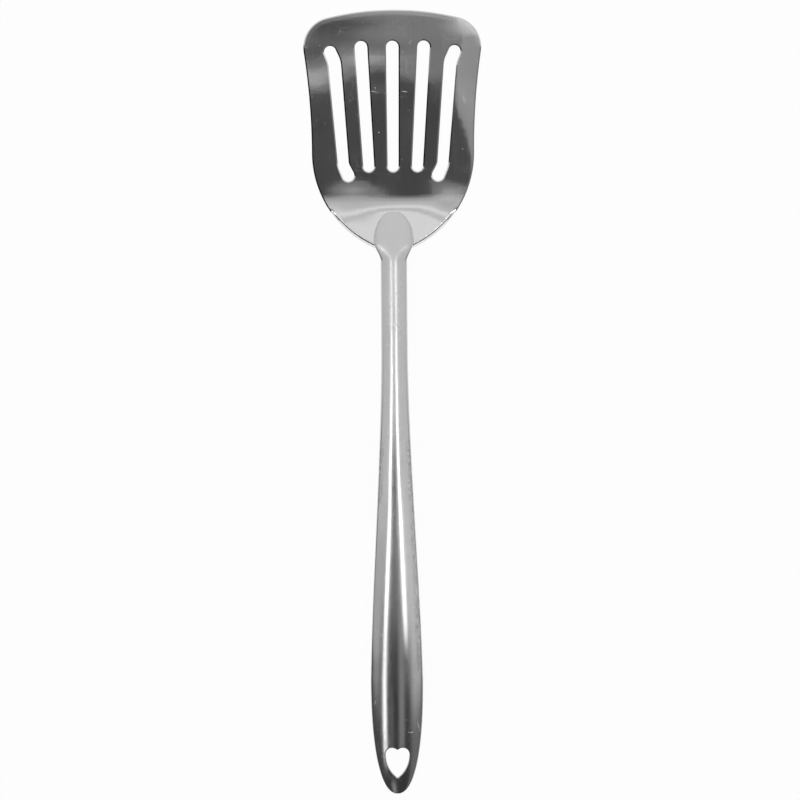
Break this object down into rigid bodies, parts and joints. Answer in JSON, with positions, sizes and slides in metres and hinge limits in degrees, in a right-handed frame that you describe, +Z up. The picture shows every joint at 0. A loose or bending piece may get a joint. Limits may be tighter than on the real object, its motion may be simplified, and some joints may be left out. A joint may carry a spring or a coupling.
{
  "type": "slotted turner",
  "caption": "Polished stainless turner with a slotted flat blade, raised heel and hollow arched handle that ends in a heart-shaped hanging hole.",
  "frame": {"origin": "centre of the bounding box in plan, on the table that the turner lies on", "axes": "+Y towards the blade's front edge, +Z up from the table, +X to the right seen from above"},
  "size_m": [0.0818, 0.3606, 0.0254],
  "materials": {
    "blade_steel": "mirror polished with faint lengthwise lines",
    "handle_steel": "polished with faint lengthwise lines",
    "weld_steel": "ground and polished weld with fine pits"
  },
  "bodies": {
    "root": {"blade": "blade_steel", "handle_front_shell": "handle_steel", "handle_back_shell": "handle_steel", "seam_weld_left": "weld_steel", "seam_weld_right": "weld_steel", "nose_weld": "weld_steel", "heel_weld": "weld_steel", "hang_hole_collar": "handle_steel"}
  },
  "joints": []
}
